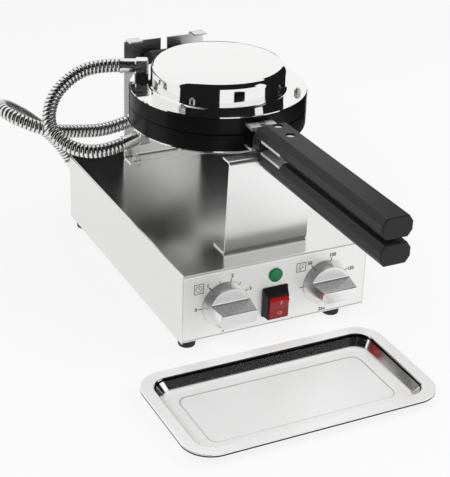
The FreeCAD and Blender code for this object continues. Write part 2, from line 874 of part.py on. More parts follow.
def supply_route():
    start = hose_end(supply_head_seat(), -UP, supply_head_way)
    end = hose_end(base_seat(), BACK, supply_base_way)
    chosen = [Vector(-137, 234, 164), Vector(-170, 231, 171), Vector(-200, 242, 184)]
    chosen += [Vector(-214, 266, 191), Vector(-201, 298, 183), Vector(-173, 322, 160)]
    chosen += [Vector(-146, 338, 134)]
    first = start + unit(supply_head_way) * hose_lead
    last = end + unit(supply_base_way) * hose_lead
    return [start, first] + chosen + [last, end]


def route_pieces(points, name):
    share = 0.45
    pieces = []
    here = points[0]
    for k in range(1, len(points) - 1):
        into = points[k] - points[k - 1]
        out = points[k + 1] - points[k]
        turn = into.getAngle(out)
        cut = share * min(into.Length, out.Length)
        radius = cut / math.tan(turn / 2.0)
        a = points[k] - unit(into) * cut
        b = points[k] + unit(out) * cut
        inward = unit(unit(out) - unit(into))
        bulge = radius / math.cos(turn / 2.0) - radius
        middle = points[k] + inward * bulge
        pieces.append(Part.LineSegment(here, a).toShape())
        pieces.append(Part.Arc(a, middle, b).toShape())
        here = b
        print(name, "point", k, "turn", round(math.degrees(turn)), "radius", round(radius, 1))
    pieces.append(Part.LineSegment(here, points[-1]).toShape())
    return pieces


def along(pieces, distance):
    left = distance
    for piece in pieces:
        if left <= piece.Length or piece is pieces[-1]:
            u = piece.getParameterByLength(min(left, piece.Length))
            return piece.valueAt(u), unit(piece.tangentAt(u))
        left -= piece.Length
    return None


def ring_wire(centre, way, side, radius):
    circle = Part.Circle(centre, way, radius)
    circle.XAxis = side
    return Part.Wire([circle.toShape()])


def ribbed_hose(points, name):
    pieces = route_pieces(points, name)
    length = sum(p.Length for p in pieces)
    ribs = int(round(length / hose_pitch))
    step = length / ribs
    profile = ((0.0, hose_root_radius), (0.22, hose_crest_radius), (0.66, hose_crest_radius), (0.88, hose_root_radius))
    outer = []
    side = None
    for k in range(ribs):
        for share, radius in profile:
            spot, way = along(pieces, (k + share) * step)
            guess = side if side is not None else way.cross(UP)
            side = unit(guess - way * guess.dot(way))
            outer.append(ring_wire(spot, way, side, radius))
    spot, way = along(pieces, length)
    side = unit(side - way * side.dot(way))
    outer.append(ring_wire(spot, way, side, hose_root_radius))
    body = Part.makeLoft(outer, True, True)
    start_spot, start_way = along(pieces, 0.0)
    ring = ring_wire(start_spot, start_way, unit(start_way.cross(UP)), hose_bore_radius)
    bore = Part.Wire(pieces).makePipeShell([ring], True, False)
    hose = body.cut(bore)
    mean = math.pi * (hose_crest_radius ** 2 - hose_bore_radius ** 2)
    print(name, "length", round(length, 1), "ribs", ribs, "volume", round(hose.Volume), "full section", round(mean * length))
    print(name, "bore volume", round(bore.Volume), "section times length", round(math.pi * hose_bore_radius ** 2 * length))
    return hose


# Controls on the front panel
def lamp_z():
    return base_top - lamp_below_top


def switch_z():
    return base_top - switch_below_top


def knob_places():
    left = (knob_left_x, base_top - knob_left_below_top)
    right = (knob_right_x, base_top - knob_right_below_top)
    return [left, right]


def lamp_body():
    x, z = lamp_x, lamp_z()
    rim = rod(lamp_rim_radius, Vector(x, -lamp_rim, z), Vector(x, 0, z))
    body = rod(lamp_body_radius, Vector(x, -lamp_rim, z), Vector(x, lamp_body_length, z))
    nut = rod(lamp_rim_radius, Vector(x, sheet, z), Vector(x, sheet + 3, z))
    return fuse([rim, body, nut])


def lamp_lens():
    x, z = lamp_x, lamp_z()
    foot = rod(lamp_lens_radius, Vector(x, -lamp_rim - 1, z), Vector(x, -lamp_rim, z))
    cap = lamp_lens_height - 1
    ball = (lamp_lens_radius ** 2 + cap ** 2) / (2 * cap)
    centre = Vector(x, -lamp_rim - lamp_lens_height + ball, z)
    dome = Part.makeSphere(ball, centre)
    keep = rod(lamp_lens_radius, Vector(x, -lamp_rim - lamp_lens_height, z), Vector(x, -lamp_rim - 1, z))
    return fuse([foot, dome.common(keep)])


def rocker_z():
    return switch_z() - rocker_drop


def switch_ring(half_x, half_z, level, depth):
    x = switch_x
    return rounded_wire(x - half_x, x + half_x, level - half_z, level + half_z, switch_corner, depth)


def switch_frame():
    x, z, pivot_z = switch_x, switch_z(), rocker_z()
    wide, tall = bezel_width / 2.0, bezel_height / 2.0
    slot_x = rocker_width / 2.0 + rocker_side_gap
    slot_z = rocker_half_height + rocker_end_gap
    rings = [switch_ring(wide, tall, z, 0.0), switch_ring(wide, tall, z, bezel_thickness - bezel_edge)]
    rings.append(switch_ring(wide - bezel_edge, tall - bezel_edge, z, bezel_thickness))
    rings.append(switch_ring(slot_x + collar_wall, slot_z + collar_wall, pivot_z, collar_reach))
    collar = Part.makeLoft(rings, True, True)
    collar.rotate(Vector(0, 0, 0), RIGHT, 90)
    half_x, half_z = switch_body_width / 2.0, switch_body_height / 2.0
    body = box(x - half_x, x + half_x, 0, switch_body_depth, z - half_z, z + half_z)
    frame = fuse([collar, body])
    frame = frame.cut(box(x - slot_x, x + slot_x, -collar_reach - 1, 0, pivot_z - slot_z, pivot_z + slot_z))
    stub = rocker_stub_radius + rocker_stub_clearance
    reach = slot_x + rocker_stub + rocker_stub_clearance
    pivot = rocker_pivot_y
    return frame.cut(rod(stub, Vector(x - reach, pivot, pivot_z), Vector(x + reach, pivot, pivot_z)))


def rocker():
    x, z = switch_x, rocker_z()
    top = rocker_half_height
    outline = [(-rocker_tip, top), (-rocker_middle, 0), (-rocker_tip, -top), (0.0, -top - 0.6)]
    outline += [(rocker_back, -top * 0.7), (rocker_back, top * 0.7), (0.0, top + 0.6)]
    half = rocker_width / 2.0
    points = [Vector(x - half, rocker_pivot_y + y, z + h) for y, h in outline]
    paddle = prism(points, Vector(rocker_width, 0, 0))
    sides = [e for e in paddle.Edges if abs(e.BoundBox.YMin - (rocker_pivot_y - rocker_tip)) < 0.01]
    paddle = paddle.makeFillet(1.0, sides)
    reach = half + rocker_side_gap + rocker_stub
    stub = rod(rocker_stub_radius, Vector(x - reach, rocker_pivot_y, z), Vector(x + reach, rocker_pivot_y, z))
    paddle = fuse([paddle, stub])
    paddle.rotate(Vector(x, rocker_pivot_y, z), RIGHT, rocker_tilt)
    return paddle


def knob(x, z):
    back = -knob_gap
    front = back - knob_depth
    shoulder = back - knob_shoulder
    body = Part.makeCone(knob_radius, knob_tip_radius, knob_depth, Vector(x, back, z), -BACK)
    wide = knob_radius + 5
    for side in (-1, 1):
        outline = [(front - 1, grip_half), (shoulder, grip_root_half), (shoulder, wide), (front - 1, wide)]
        points = [Vector(x - wide, y, z + side * h) for y, h in outline]
        body = body.cut(prism(points, Vector(2 * wide, 0, 0)))
    body = body.makeFillet(knob_round, [e for e in body.Edges if e.BoundBox.YMax < front + 0.01])
    flat = [e for e in body.Edges if abs(e.BoundBox.YMin - shoulder) < 0.01 and abs(e.BoundBox.YMax - shoulder) < 0.01]
    rims = [e for e in flat if e.BoundBox.ZLength > 1.0]
    body = body.makeFillet(shoulder_round, rims)
    roots = [e for e in body.Edges if abs(e.BoundBox.YMin - shoulder) < 0.01 and e.BoundBox.YLength < 0.01]
    roots = [e for e in roots if e.BoundBox.ZLength < 0.01]
    body = body.makeFillet(root_round, roots)
    bore = rod(spindle_radius, Vector(x, -knob_gap - spindle_in_knob, z), Vector(x, 1, z))
    return body.cut(bore)


def spindle(x, z):
    start = -knob_gap - spindle_in_knob
    return rod(spindle_radius, Vector(x, start, z), Vector(x, spindle_in_body, z))


def control_body(x, z, width, depth):
    half = width / 2.0
    front = sheet + 1.0
    case = box(x - half, x + half, front, front + depth, z - half, z + half)
    case = case.makeFillet(2.0, [e for e in case.Edges if e.BoundBox.YLength > depth - 1])
    bush = rod(bush_radius, Vector(x, 0, z), Vector(x, front + 1, z))
    ring = rod(bush_radius + 3, Vector(x, sheet, z), Vector(x, front, z))
    whole = fuse([case, bush, ring])
    bore = spindle_radius + spindle_clearance
    return whole.cut(rod(bore, Vector(x, -1, z), Vector(x, spindle_in_body + 0.5, z)))


def terminal_block():
    floor = foot_height + sheet
    half = terminal_length / 2.0
    y1 = terminal_y + terminal_width
    block = box(-half, half, terminal_y, y1, floor, floor + terminal_height)
    poles = 5
    pitch = terminal_length / poles
    for k in range(poles):
        x = -half + pitch * (k + 0.5)
        top = floor + terminal_height
        block = block.cut(rod(3.0, Vector(x, terminal_y + 5, top - 6), Vector(x, terminal_y + 5, top + 1)))
        block = block.cut(rod(3.0, Vector(x, y1 - 5, top - 6), Vector(x, y1 - 5, top + 1)))
    return block


def mains_gland():
    x, z = mains_gland_x, foot_height + mains_gland_above_base
    y = base_depth
    nut = hexagon(mains_gland_radius * 1.75, Vector(x, y, z), BACK, 6.0, RIGHT)
    cap = Part.makeCone(mains_gland_radius * 0.82, mains_gland_bore + 1.5, 9.0, Vector(x, y + 6, z), BACK)
    stem = rod(mains_gland_bore + 2, Vector(x, y - 8, z), Vector(x, y, z))
    lock = rod(mains_gland_radius, Vector(x, y - sheet - 4, z), Vector(x, y - sheet, z))
    whole = fuse([nut, cap, stem, lock])
    return whole.cut(rod(mains_gland_bore, Vector(x, y - 10, z), Vector(x, y + 20, z)))


# Pressed tray with a flat rim, sloped well and a sunk middle panel
def tray_slab(inset_low, inset_high, radius_low, radius_high, low, high):
    wires = []
    for inset, radius, z in ((inset_low, radius_low, low), (inset_high, radius_high, high)):
        wires.append(rounded_wire(tray_left + inset, tray_right - inset, tray_front + inset, tray_rear - inset, radius, z))
    return Part.makeLoft(wires, True, True)


def drip_tray():
    wall = tray_sheet
    rim_low = tray_height - wall
    well_corner = tray_corner - tray_rim
    foot_corner = well_corner - 4
    foot_inset = tray_rim + tray_slope
    panel_corner = foot_corner - 4
    floor = tray_panel_step
    outer = tray_slab(foot_inset, tray_rim, foot_corner, well_corner, floor, rim_low)
    sunk = tray_slab(tray_panel_inset + 1.5, tray_panel_inset, panel_corner, panel_corner, 0.0, floor + wall / 2.0)
    rim = tray_slab(0.0, 0.0, tray_corner, tray_corner, tray_height - tray_lip, tray_height)
    under = tray_slab(wall, wall, tray_corner - wall, tray_corner - wall, tray_height - tray_lip - 1, rim_low)
    rim = rim.cut(under)
    whole = fuse([outer, sunk, rim])
    well = tray_slab(foot_inset + wall, tray_rim + wall, foot_corner, well_corner, floor + wall, tray_height + 0.001)
    inner = tray_panel_inset + wall
    dip = tray_slab(inner + 1.5, inner, panel_corner, panel_corner, wall, floor + wall + 0.001)
    return whole.cut(well).cut(dip)


def save(name, shape):
    placed = shape.copy()
    placed.translate(Vector(-middle_x, -middle_y, 0))
    if not placed.isValid():
        print("not valid:", name)
    placed.exportStep("parts/" + name + ".step")


os.makedirs("parts", exist_ok=True)
left_knob, right_knob = knob_places()
places = foot_places()
save("base_shell", base_shell())
save("front_panel", front_panel())
save("rear_panel", rear_panel())
save("bottom_pan", bottom_pan())
save("foot_front_left", foot(*places[0]))
save("foot_front_right", foot(*places[1]))
save("foot_rear_left", foot(*places[2]))
save("foot_rear_right", foot(*places[3]))
save("foot_screws", foot_screws())
save("timer_body", control_body(left_knob[0], left_knob[1], control_body_width, control_body_depth))
save("thermostat_body", control_body(right_knob[0], right_knob[1], control_body_width, control_body_depth))
save("indicator_body", lamp_body())
save("indicator_lens", lamp_lens())
save("switch_frame", switch_frame())
save("terminal_block", terminal_block())
save("mains_gland", mains_gland())
save("front_bracket", front_bracket())
save("rear_bracket", rear_bracket())
save("bracket_bolts_front", bolts(bolt_places()[:2]))
save("bracket_bolts_rear", bolts(bolt_places()[2:]))
save("supply_nut_base", gland_nut(base_seat(), BACK))
save("supply_elbow_base", elbow(base_seat(), BACK, supply_base_way))
save("casting_lower", casting_lower())
save("casting_upper", casting_upper())
save("cooking_plate_upper", cooking_plate())
save("cooking_plate_lower", mirrored(cooking_plate()))
save("heater_upper", heater())
save("heater_lower", mirrored(heater()))
save("cover_upper", cover(upper_cover_radius, upper_cover_rise, upper_cover_shoulder, [lid_seat()]))
lower_seats = [link_head_seat(), supply_head_seat()]
save("cover_lower", mirrored(cover(lower_cover_radius, lower_cover_rise, lower_cover_shoulder, lower_seats)))
save("flange_nuts_upper", flange_nuts())
save("flange_nuts_lower", mirrored(flange_nuts()))
save("tang_upper", tang())
save("tang_lower", mirrored(tang()))
save("tang_screw_upper", tang_screw())
save("tang_screw_lower", mirrored(tang_screw()))
save("journal_upper", journal())
save("journal_lower", mirrored(journal()))
save("handle_upper", handle())
save("handle_lower", mirrored(handle()))
save("handle_screws_upper", handle_screws())
save("handle_screws_lower", mirrored(handle_screws()))
save("hinge_pin", hinge_pin())
save("flip_axle", flip_axle())
save("axle_washers", axle_washers())
save("axle_nut", axle_nut())
save("link_nut_lid", gland_nut(lid_seat(), UP))
save("link_elbow_lid", elbow(lid_seat(), UP, link_lid_way))
head_nuts = [gland_nut(seat, -UP) for seat in lower_seats]
save("hose_nuts_head", Part.makeCompound(head_nuts))
save("link_elbow_head", elbow(link_head_seat(), -UP, link_head_way))
save("supply_elbow_head", elbow(supply_head_seat(), -UP, supply_head_way))
save("timer_knob", knob(*left_knob))
save("timer_spindle", spindle(*left_knob))
save("thermostat_knob", knob(*right_knob))
save("thermostat_spindle", spindle(*right_knob))
save("rocker", rocker())
save("drip_tray", drip_tray())
save("hose_link", ribbed_hose(link_route(), "link hose"))
save("hose_supply", ribbed_hose(supply_route(), "supply hose"))
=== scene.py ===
import bisect
import bmesh
import bpy
import json
import math
from mathutils import Euler, Matrix, Vector

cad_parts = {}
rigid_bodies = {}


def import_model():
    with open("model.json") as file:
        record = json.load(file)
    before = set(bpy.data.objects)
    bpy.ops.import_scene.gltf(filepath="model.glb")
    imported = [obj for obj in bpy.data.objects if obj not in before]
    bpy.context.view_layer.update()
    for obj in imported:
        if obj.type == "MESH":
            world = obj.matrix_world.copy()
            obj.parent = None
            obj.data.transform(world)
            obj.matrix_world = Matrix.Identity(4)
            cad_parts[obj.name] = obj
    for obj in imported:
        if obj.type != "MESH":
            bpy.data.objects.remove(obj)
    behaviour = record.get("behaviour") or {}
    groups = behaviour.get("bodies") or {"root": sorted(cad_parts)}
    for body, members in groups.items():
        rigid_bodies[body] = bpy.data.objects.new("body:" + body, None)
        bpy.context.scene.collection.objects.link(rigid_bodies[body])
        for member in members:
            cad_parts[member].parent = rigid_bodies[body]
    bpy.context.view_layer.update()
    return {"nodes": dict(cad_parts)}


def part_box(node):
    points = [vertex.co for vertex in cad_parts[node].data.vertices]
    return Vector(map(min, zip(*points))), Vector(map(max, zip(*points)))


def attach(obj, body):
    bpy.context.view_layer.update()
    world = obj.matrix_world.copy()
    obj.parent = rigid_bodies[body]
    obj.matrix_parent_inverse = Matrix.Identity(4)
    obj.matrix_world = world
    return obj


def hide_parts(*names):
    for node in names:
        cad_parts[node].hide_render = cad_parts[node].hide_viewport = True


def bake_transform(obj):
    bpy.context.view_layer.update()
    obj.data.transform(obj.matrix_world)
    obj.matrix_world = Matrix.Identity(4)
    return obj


# A new file opens with a cube, a lamp and a camera, which go before the machine is loaded.
bpy.ops.object.select_all(action="SELECT")
bpy.ops.object.delete()
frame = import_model()
bpy.ops.object.select_all(action="DESELECT")


# View: a long lens stands to the left of the front and well above the machine. It looks
# down on it at 27 degrees and leans two degrees to one side.
camera_place = Vector((-0.58422, -1.17338, 0.75478))
camera_turn_left = math.radians(26.87)
camera_look_down = math.radians(26.98)
camera_lean = math.radians(1.93)
camera_data = bpy.data.cameras.new("camera")
camera_data.sensor_fit = "VERTICAL"
camera_data.sensor_height = 36.0
camera_data.lens = 102.7
camera = bpy.data.objects.new("camera", camera_data)
bpy.context.scene.collection.objects.link(camera)
camera.matrix_world = (
    Matrix.Translation(camera_place)
    @ Matrix.Rotation(-camera_turn_left, 4, "Z")
    @ Matrix.Rotation(math.pi / 2 - camera_look_down, 4, "X")
    @ Matrix.Rotation(camera_lean, 4, "Z")
)
bpy.context.scene.camera = camera
bpy.context.scene.view_settings.view_transform = "Standard"


# Hoses: two lengths of steel conduit carry the heater wires, one from the base to the lower half of the
# head and one on to the lid. Each is a bright strip wound round and round with its edges hooked together,
# so a groove runs between the turns, and its colour is darkened there with painted shade.
class Value:
    """A socket of a finish that can be used in sums like a number."""

    def __init__(self, finish, socket):
        self.finish = finish
        self.socket = socket

    def maths(self, operation, first, second):
        return self.finish.add("ShaderNodeMath", {"operation": operation}, {0: first, 1: second})

    def __add__(self, other):
        return self.maths("ADD", self, other)

    def __sub__(self, other):
        return self.maths("SUBTRACT", self, other)

    def __rsub__(self, other):
        return self.maths("SUBTRACT", other, self)

    def __mul__(self, other):
        return self.maths("MULTIPLY", self, other)

    __radd__ = __add__
    __rmul__ = __mul__


class Finish:
    """A surface or a room: one shader, and the patterns in metres that feed it."""

    def __init__(self, name, kind=bpy.data.materials, shader="Principled BSDF", **fixed):
        self.material = kind.new(name)
        self.material.use_nodes = True
        self.nodes = self.material.node_tree.nodes
        self.links = self.material.node_tree.links
        self.shader = self.nodes[shader]
        for socket, value in fixed.items():
            self.shader.inputs[socket.replace("_", " ")].default_value = value

    def add(self, kind, settings, sockets, output=0):
        node = self.nodes.new(kind)
        for name, value in settings.items():
            setattr(node, name, value)
        for name, value in sockets.items():
            if isinstance(value, Value):
                self.links.new(value.socket, node.inputs[name])
            else:
                node.inputs[name].default_value = value
        return Value(self, node.outputs[output])

    def feed(self, **values):
        for name, value in values.items():
            self.links.new(value.socket, self.shader.inputs[name.replace("_", " ")])

    def spot(self, stretch=(1, 1, 1)):
        place = self.add("ShaderNodeTexCoord", {}, {}, "Object")
        return self.add("ShaderNodeMapping", {}, {"Vector": place, "Scale": stretch})

    def cloud(self, size, detail=2.0, stretch=(1, 1, 1)):
        sockets = {"Vector": self.spot(stretch), "Scale": 1 / size, "Detail": detail}
        return self.add("ShaderNodeTexNoise", {}, sockets)

    def step(self, value, low, high):
        sockets = {"Value": value, "From Min": low, "From Max": high}
        return self.add("ShaderNodeMapRange", {"interpolation_type": "SMOOTHSTEP"}, sockets)

    def mix(self, share, first, second):
        # A Mix node keeps its two colours in sockets 6 and 7, and its mixed colour in output 2.
        colours = {0: share, 6: (*first, 1), 7: (*second, 1)}
        return self.add("ShaderNodeMix", {"data_type": "RGBA"}, colours, 2)

    def relief(self, height, depth):
        self.feed(Normal=self.add("ShaderNodeBump", {}, {"Height": height, "Distance": depth}))


def dress(piece, finish, body=None, nodes=()):
    """Gives a finished piece its surface, its body, and the nodes that it stands for."""
    piece.data.materials.clear()
    piece.data.materials.append(finish.material)
    if body:
        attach(piece, body)
    if nodes:
        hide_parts(*nodes)
    return piece


def smooth_line(name, points):
    """The hose's centreline, read from a spline through its given points."""
    curve = bpy.data.curves.new(name, "CURVE")
    curve.dimensions = "3D"
    curve.resolution_u = 24
    spline = curve.splines.new("NURBS")
    spline.points.add(len(points) - 1)
    for place, point in zip(points, spline.points):
        point.co = (*place, 1)
    spline.order_u = 3
    spline.use_endpoint_u = True
    rail = bpy.data.objects.new(name, curve)
    bpy.context.scene.collection.objects.link(rail)
    line = [vertex.co.copy() for vertex in bpy.data.meshes.new_from_object(rail).vertices]
    bpy.data.objects.remove(rail)
    return line


hose_radius = 0.0075
groove_radius = 0.0066
strip_pitch = 0.0045
strip_sides = 28
# Across one turn of the strip: the share of the pitch, and the radius there.
strip_profile = (
    (0.0, groove_radius),
    (0.08, 0.0071),
    (0.2, 0.0074),
    (0.42, hose_radius),
    (0.64, 0.00742),
    (0.78, 0.0071),
    (0.85, 0.00665),
)


def wound_strip(name, line):
    """A strip wound in a helix along the line, each turn hooked over the one before."""
    ways = []
    for k in range(len(line)):
        before, after = line[max(k - 1, 0)], line[min(k + 1, len(line) - 1)]
        ways.append((after - before).normalized())
    sides = [ways[0].orthogonal().normalized()]
    for way in ways[1:]:
        sides.append((sides[-1] - way * sides[-1].dot(way)).normalized())
    marks = [0.0]
    for a, b in zip(line, line[1:]):
        marks.append(marks[-1] + (b - a).length)
    length = marks[-1]
    turns = round(length / strip_pitch)
    pitch = length / turns

    places = []
    depths = []
    for k in range((turns + 1) * strip_sides + 1):
        angle = 2 * math.pi * k / strip_sides
        for share, radius in strip_profile:
            distance = pitch * (k / strip_sides + share - 1)
            if not 0 < distance < length:
                distance = min(max(distance, 0), length)
                radius = groove_radius
            after = min(max(bisect.bisect(marks, distance), 1), len(marks) - 1)
            part = (distance - marks[after - 1]) / (marks[after] - marks[after - 1])
            centre = line[after - 1].lerp(line[after], part)
            way = ways[after - 1].lerp(ways[after], part).normalized()
            side = sides[after - 1].lerp(sides[after], part).normalized()
            outward = side * math.cos(angle) + way.cross(side) * math.sin(angle)
            places.append(centre + outward * radius)
            depths.append((hose_radius - radius) / (hose_radius - groove_radius))
    rows = len(strip_profile)
    faces = []
    for k in range((turns + 1) * strip_sides):
        for row in range(rows - 1):
            here = k * rows + row
            faces.append((here, here + rows, here + rows + 1, here + 1))
        if k < turns * strip_sides:
            last = k * rows + rows - 1
            first = (k + strip_sides) * rows
            faces.append((last, last + rows, first + rows, first))
    mesh = bpy.data.meshes.new(name)
    mesh.from_pydata(places, [], faces)
    mesh.attributes.new("groove", "FLOAT", "POINT").data.foreach_set("value", depths)
    work = bmesh.new()
    work.from_mesh(mesh)
    bmesh.ops.remove_doubles(work, verts=work.verts, dist=0.00001)
    bmesh.ops.dissolve_degenerate(work, edges=work.edges, dist=0.000005)
    bmesh.ops.holes_fill(work, edges=[edge for edge in work.edges if edge.is_boundary], sides=0)
    bmesh.ops.recalc_face_normals(work, faces=work.faces)
    for face in work.faces:
        face.smooth = len(face.verts) <= 4
    work.to_mesh(mesh)
    work.free()
    hose = bpy.data.objects.new(name, mesh)
    bpy.context.scene.collection.objects.link(hose)
    return hose


conduit = Finish("wound_conduit", Metallic=1.0)
conduit_groove_and_shade = conduit.add("ShaderNodeAttribute", {"attribute_name": "groove"}, {}, "Fac")
conduit_scuffs = conduit.cloud(0.0012, 3)
# The colour darkens towards the bottom of the groove as painted shade, and the groove is rougher too.
conduit.feed(
    Base_Color=conduit.mix(conduit_groove_and_shade, (0.86, 0.86, 0.85), (0.06, 0.06, 0.06)),
    Roughness=0.1 + 0.1 * conduit_scuffs + 0.4 * conduit_groove_and_shade,
)
conduit.relief(conduit_scuffs, 0.00002)

link_points = [
    (-0.0531, 0.1435, 0.2431),
    (-0.0780, 0.1540, 0.2431),
    (-0.1060, 0.1570, 0.2330),
    (-0.1330, 0.1480, 0.2130),
    (-0.1430, 0.1290, 0.1870),
    (-0.1250, 0.1100, 0.1690),
    (-0.0956, 0.0945, 0.1651),
    (-0.0693, 0.0958, 0.1713),
]
supply_points = [
    (-0.0359, 0.1595, 0.1689),
    (-0.0611, 0.1636, 0.1600),
    (-0.0990, 0.1640, 0.1640),
    (-0.1320, 0.1610, 0.1710),
    (-0.1620, 0.1720, 0.1840),
    (-0.1760, 0.1960, 0.1910),
    (-0.1630, 0.2280, 0.1830),
    (-0.1350, 0.2520, 0.1600),
    (-0.1080, 0.2680, 0.1340),
    (-0.0812, 0.2745, 0.1058),
    (-0.0677, 0.2745, 0.0824),
]
hose_runs = (
    ("link", link_points, 0.2122, "lid", "head"),
    ("supply", supply_points, 0.3428, "head", "base"),
)
for run, points, length, first_body, last_body in hose_runs:
    line = smooth_line(run + "_line", points)
    hose = dress(wound_strip("conduit_" + run, line), conduit, nodes=["hose_" + run])
    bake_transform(hose)


# Box: the base is a folded stainless shell over a pan, closed at each end by its own
# panel. The shell is brushed from front to back, and the panels from side to side.
def paint(finish, *nodes):
    """Gives parts of the frame their surface."""
    for node in nodes:
        frame["nodes"][node].material_slots[0].material = finish.material


def brushed_steel(name, grain, dark, pale, roughness):
    """Stainless steel brushed one way, with fine scratches and a soft cloud in its sheen."""
    steel = Finish(name, Metallic=1.0)
    scratches = steel.cloud(0.0005, 4, grain)
    sheen = steel.cloud(0.04, 2)
    steel.feed(
        Base_Color=steel.mix(scratches, (dark, dark, dark * 0.985), (pale, pale, pale * 0.985)),
        Roughness=roughness + 0.1 * scratches + 0.08 * sheen,
    )
    steel.relief(scratches, 0.00001)
    return steel


along_x = (0.02, 1, 1)
along_y = (1, 0.02, 1)
shell_steel = brushed_steel("brushed_shell", along_y, dark=0.74, pale=0.86, roughness=0.1)
panel_steel = brushed_steel("brushed_panel", along_x, dark=0.86, pale=0.95, roughness=0.3)
paint(shell_steel, "base_shell", "bottom_pan")
paint(panel_steel, "front_panel", "rear_panel")


# Feet: four short plugs of black rubber, moulded with a fine matt grain. Each is held by
# a screw from inside the pan.
rubber = Finish("foot_rubber")
rubber_grain = rubber.cloud(0.0004, 3)
rubber.feed(
    Base_Color=rubber.mix(rubber_grain, (0.008, 0.008, 0.008), (0.022, 0.022, 0.022)),
    Roughness=0.6 + 0.25 * rubber_grain,
)
rubber.relief(rubber_grain, 0.00004)
paint(rubber, "foot_front_left", "foot_front_right", "foot_rear_left", "foot_rear_right")


# Screws, nuts and pins: turned steel with a bright plating that handling has marked.
# The hinge pin, the axle with its washers and nut, and the two spindles have it too.
plating = Finish("bright_plating", Metallic=1.0)
plating_marks = plating.cloud(0.0009, 3)
plating.feed(
    Base_Color=plating.mix(plating_marks, (0.4, 0.4, 0.39), (0.78, 0.78, 0.76)),
    Roughness=0.1 + 0.16 * plating_marks,
)
plating.relief(plating_marks, 0.00002)
paint(plating, "foot_screws", "bracket_bolts_front", "bracket_bolts_rear")
paint(plating, "flange_nuts_upper", "flange_nuts_lower", "tang_screw_upper", "tang_screw_lower")
paint(plating, "handle_screws_upper", "handle_screws_lower", "timer_spindle", "thermostat_spindle")
paint(plating, "hinge_pin", "flip_axle", "axle_washers", "axle_nut")


# Controls inside the box: the timer, the thermostat and the block where the wires meet
# are grey moulded plastic.
moulding = Finish("grey_moulding")
moulding_grain = moulding.cloud(0.0008, 3)
moulding.feed(
    Base_Color=moulding.mix(moulding_grain, (0.42, 0.42, 0.4), (0.52, 0.52, 0.5)),
    Roughness=0.4 + 0.2 * moulding_grain,
)
paint(moulding, "timer_body", "thermostat_body", "terminal_block")


# Brackets: two bent plates of steel with a soft bright finish carry the head. The front one
# holds the collar behind the handles, and the rear one the axle, with two tabs folded forward.
def polished_steel(name, pale, roughness):
    """Polished stainless steel with the faint lines of the polishing wheel."""
    steel = Finish(name, Metallic=1.0)
    lines = steel.cloud(0.0004, 3, along_x)
    waves = steel.cloud(0.05, 1)
    steel.feed(
        Base_Color=steel.mix(lines, (pale - 0.04, pale - 0.04, pale - 0.045), (pale, pale, pale - 0.005)),
        Roughness=roughness + 0.05 * lines,
    )
    steel.relief(waves, 0.0001)
    return steel


paint(polished_steel("polished_bracket", pale=0.96, roughness=0.3), "front_bracket", "rear_bracket")


# Elbows: four small blocks of polished steel, each with a collar for its hose, lead the
# two hoses into the lid, the head and the base.
fitting_steel = polished_steel("polished_fitting", pale=0.88, roughness=0.2)
paint(fitting_steel, "link_elbow_lid", "link_elbow_head", "supply_elbow_head", "supply_elbow_base")


# Head castings: two thick aluminium rings with the hinge knuckles, and in each a round
# plate with the bubble cells. All four are coated black against sticking.
coating = Finish("black_coating", Coat_Weight=0.05, Coat_Roughness=0.12, Specular_IOR_Level=0.12)
coating_peel = coating.cloud(0.0014, 3)
coating_wear = coating.cloud(0.03, 3)
coating.feed(
    Base_Color=coating.mix(coating_wear, (0.002, 0.002, 0.0024), (0.005, 0.005, 0.0055)),
    Roughness=0.24 + 0.14 * coating_peel,
)
coating.relief(coating_peel, 0.00003)
paint(coating, "casting_upper", "casting_lower", "cooking_plate_upper", "cooking_plate_lower")


# Heaters: a bent steel tube with the heating wire inside lies on the back of each plate.
# Its surface is dull and brown from the heat.
heater_tube = Finish("heater_tube", Metallic=0.8)
heater_tint = heater_tube.cloud(0.012, 4)
heater_tube.feed(
    Base_Color=heater_tube.mix(heater_tint, (0.16, 0.14, 0.12), (0.34, 0.31, 0.27)),
    Roughness=0.45 + 0.25 * heater_tint,
)
paint(heater_tube, "heater_upper", "heater_lower")


# Covers: a thin steel dish over each heater, spun to a steep wall and a shallow crown,
# polished like a mirror, with a flat flange that is nutted to the casting.
def arc(centre, radius, first, last, count):
    """Points of an arc in degrees, as radius and height."""
    spots = []
    for k in range(count + 1):
        angle = math.radians(first + (last - first) * k / count)
        spots.append((centre[0] + radius * math.cos(angle), centre[1] + radius * math.sin(angle)))
    return spots


def turned(name, middle, profile, sides):
    """A shell turned about an upright axis: one ring drawn through every radius and height."""
    radius, height = profile[0]
    place = middle + Vector((0, 0, height))
    bpy.ops.mesh.primitive_circle_add(vertices=sides, radius=radius, location=place, enter_editmode=True)
    for next_radius, next_height in profile[1:]:
        rise = (0, 0, next_height - height)
        bpy.ops.mesh.extrude_region_move(TRANSFORM_OT_translate={"value": rise})
        place = middle + Vector((0, 0, next_height))
        if next_radius:
            scale = next_radius / radius
            bpy.ops.transform.resize(value=(scale, scale, 1), center_override=place)
        else:
            bpy.ops.mesh.merge(type="CENTER")
        radius, height = next_radius, next_height
    bpy.ops.object.mode_set(mode="OBJECT")
    shell = bpy.context.object
    shell.name = name
    bpy.ops.object.transform_apply(location=True, rotation=True, scale=True)
    return shell


def face_outwards(piece):
    """Turns all the faces of a piece to one side, the outer one of a closed shape."""
    bpy.context.view_layer.objects.active = piece
    bpy.ops.object.mode_set(mode="EDIT")
    bpy.ops.mesh.select_all(action="SELECT")
    bpy.ops.mesh.normals_make_consistent(inside=False)
    bpy.ops.object.mode_set(mode="OBJECT")


def shade_by_angle(piece, degrees):
    """Rounds the look of the gentle edges and leaves the sharp ones."""
    bpy.ops.object.select_all(action="DESELECT")
    piece.select_set(True)
    bpy.context.view_layer.objects.active = piece
    bpy.ops.object.shade_smooth_by_angle(angle=math.radians(degrees))


